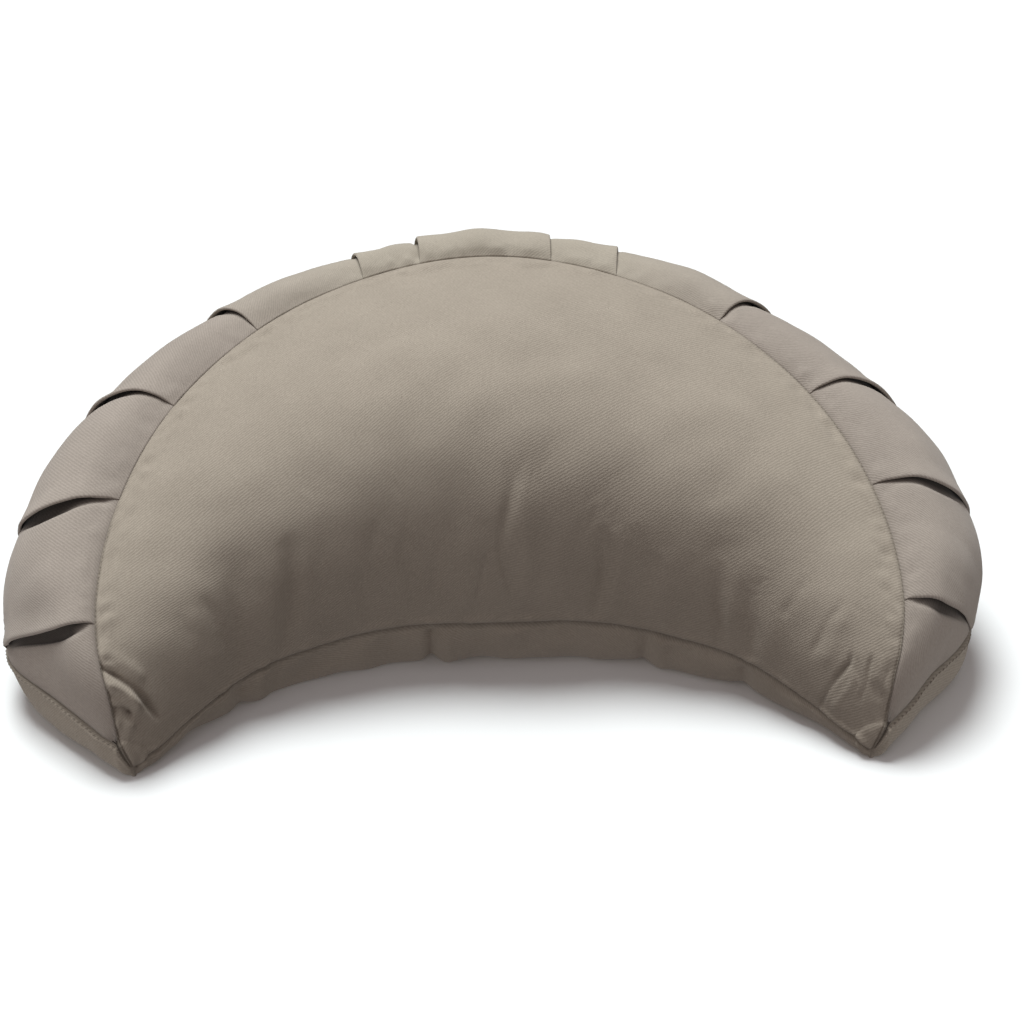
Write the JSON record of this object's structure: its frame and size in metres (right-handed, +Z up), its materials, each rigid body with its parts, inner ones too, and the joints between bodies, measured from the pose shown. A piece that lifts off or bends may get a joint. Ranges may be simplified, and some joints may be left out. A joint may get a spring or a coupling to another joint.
{
  "type": "zafu meditation cushion",
  "caption": "Crescent zafu meditation cushion: a firm filled body with a hollow front for the heels and a pleated band sewn round its outer side.",
  "frame": {"origin": "centre of the bounding box on the floor, under the middle of the cushion", "axes": "+X across the two horns, +Y towards the rounded back, +Z up"},
  "size_m": [0.4792, 0.2892, 0.1537],
  "materials": {
    "panel_twill": "matt taupe cotton twill",
    "band_twill": "matt taupe cotton twill"
  },
  "bodies": {
    "root": {"crescent_cushion": "panel_twill", "pleated_band": "band_twill"}
  },
  "joints": []
}
